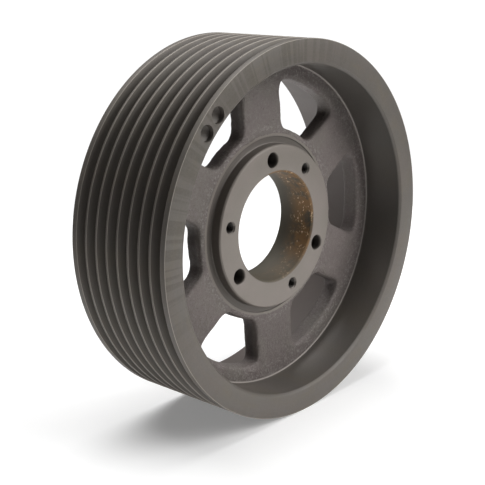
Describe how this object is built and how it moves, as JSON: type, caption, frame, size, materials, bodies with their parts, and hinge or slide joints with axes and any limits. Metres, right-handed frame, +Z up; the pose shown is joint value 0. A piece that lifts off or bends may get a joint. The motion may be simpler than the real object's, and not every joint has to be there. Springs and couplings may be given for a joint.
{
  "type": "v-belt pulley",
  "caption": "Grooved pulley wheel for narrow V-belts: a machined rim on a cast web with arms and windows, and a hub with a tapered bore and bolt circle for a bushing.",
  "frame": {"origin": "on the wheel's axis, midway between the rim's two end faces", "axes": "+Y along the wheel's axis from the face with the bolt circle to the rear, +Z up as the wheel stands on its rim, +X to the right seen from the front"},
  "size_m": [0.2692, 0.0896, 0.2692],
  "materials": {
    "machined_rim": "machined grey iron with a thin preservative film",
    "cast_web": "sand-cast grey iron",
    "turned_hub": "turned grey iron"
  },
  "bodies": {
    "root": {"rim_tube": "machined_rim", "rim_land_1": "machined_rim", "rim_land_2": "machined_rim", "rim_land_3": "machined_rim", "rim_land_4": "machined_rim", "rim_land_5": "machined_rim", "rim_land_6": "machined_rim", "rim_land_7": "machined_rim", "rim_land_8": "machined_rim", "rim_land_9": "machined_rim", "web_outer_ring": "cast_web", "web_inner_ring": "cast_web", "web_arm_1": "cast_web", "web_arm_2": "cast_web", "web_arm_3": "cast_web", "web_arm_4": "cast_web", "web_arm_5": "cast_web", "web_arm_6": "cast_web", "hub": "turned_hub"}
  },
  "joints": []
}
